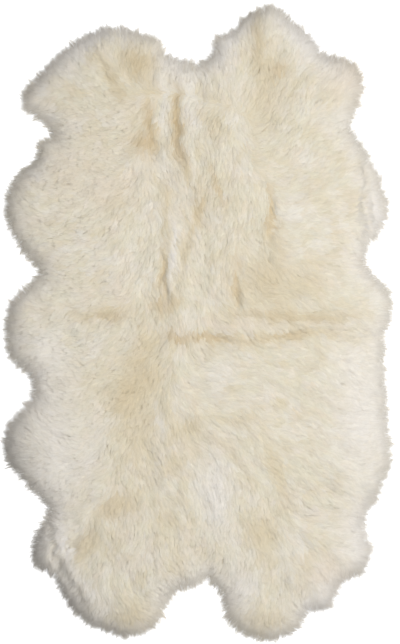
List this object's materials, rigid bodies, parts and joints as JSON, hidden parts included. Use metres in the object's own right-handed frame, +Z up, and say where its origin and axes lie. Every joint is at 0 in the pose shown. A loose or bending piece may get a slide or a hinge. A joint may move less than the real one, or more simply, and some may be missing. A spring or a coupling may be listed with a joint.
{
  "type": "sheepskin rug",
  "caption": "Floor rug of long-wool sheepskin pelts sewn together side by side and end to end, with a natural lobed outline and ivory fleece.",
  "frame": {"origin": "on the floor, under the middle of the rug's bounding box", "axes": "+Z up out of the wool, +Y along the rug towards its far end, +X to its right seen from above"},
  "size_m": [1.0982, 1.7892, 0.057],
  "materials": {
    "fleece": "long, soft, slightly glossy ivory wool in pointed locks",
    "hide": "matt, napped cream suede underside",
    "thread": "waxed cream sewing thread"
  },
  "bodies": {
    "root": {"pelt_far_left": "fleece", "pelt_far_right": "fleece", "pelt_near_left": "fleece", "pelt_near_right": "fleece"}
  },
  "joints": []
}
